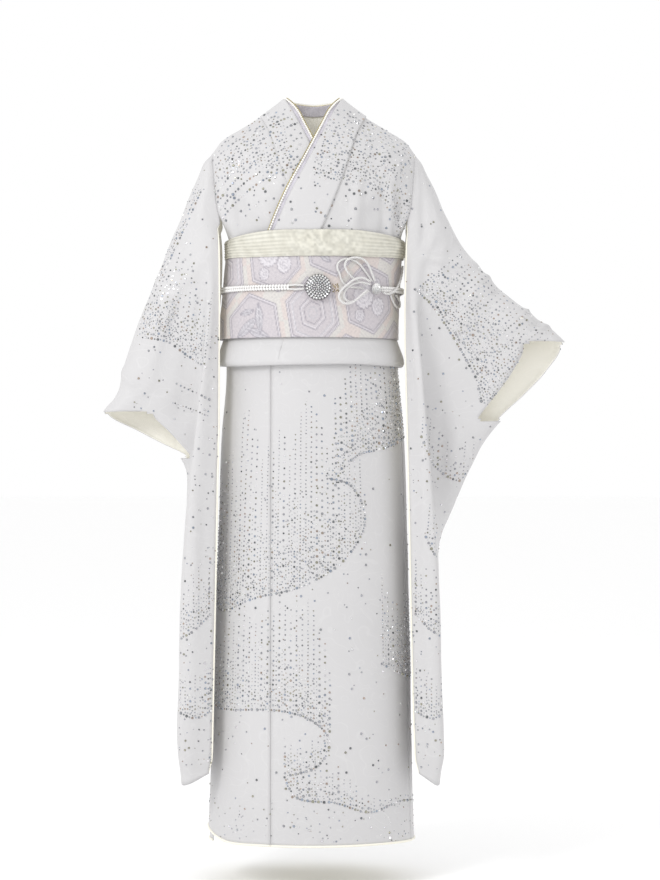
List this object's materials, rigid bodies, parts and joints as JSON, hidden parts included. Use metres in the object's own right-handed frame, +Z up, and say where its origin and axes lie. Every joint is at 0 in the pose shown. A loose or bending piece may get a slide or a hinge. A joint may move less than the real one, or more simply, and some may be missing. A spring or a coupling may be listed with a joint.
{
  "type": "long-sleeved formal kimono (furisode) with its sash",
  "caption": "Long-sleeved formal kimono as worn, hollow, with wrapped skirt, tuck, crossed collar, hanging sleeves, sash, scarf, cord, brooch and drum bow.",
  "frame": {"origin": "at the neck between the shoulders, where the wearer's shoulders hold the garment", "axes": "+X towards the wearer's left, +Y towards the wearer's back, +Z up"},
  "size_m": [0.858, 0.3607, 1.3702],
  "materials": {
    "white_silk": "satin",
    "edging_silk": "satin",
    "brocade": "satin",
    "scarf_silk": "matte",
    "braid": "matte",
    "crystal": "faceted crystals on a metal back"
  },
  "bodies": {
    "root": {"brooch": "crystal", "collar": "white_silk", "collar_edging": "edging_silk", "cord_arc": "braid", "cord_end": "braid", "cord_knot": "braid", "cord_loop_1": "braid", "cord_loop_2": "braid", "cord_loop_3": "braid", "cord_loop_4": "braid", "cord_split_1": "braid", "cord_split_2": "braid", "left_back": "white_silk", "left_body": "white_silk", "left_front": "white_silk", "left_overlap": "white_silk", "left_sleeve": "white_silk", "left_tuck": "white_silk", "right_back": "white_silk", "right_body": "white_silk", "right_front": "white_silk", "right_overlap": "white_silk", "right_sleeve": "white_silk", "right_tuck": "white_silk", "sash": "brocade", "sash_cord": "braid", "sash_drum": "brocade", "sash_tail": "brocade", "scarf": "scarf_silk"}
  },
  "joints": []
}
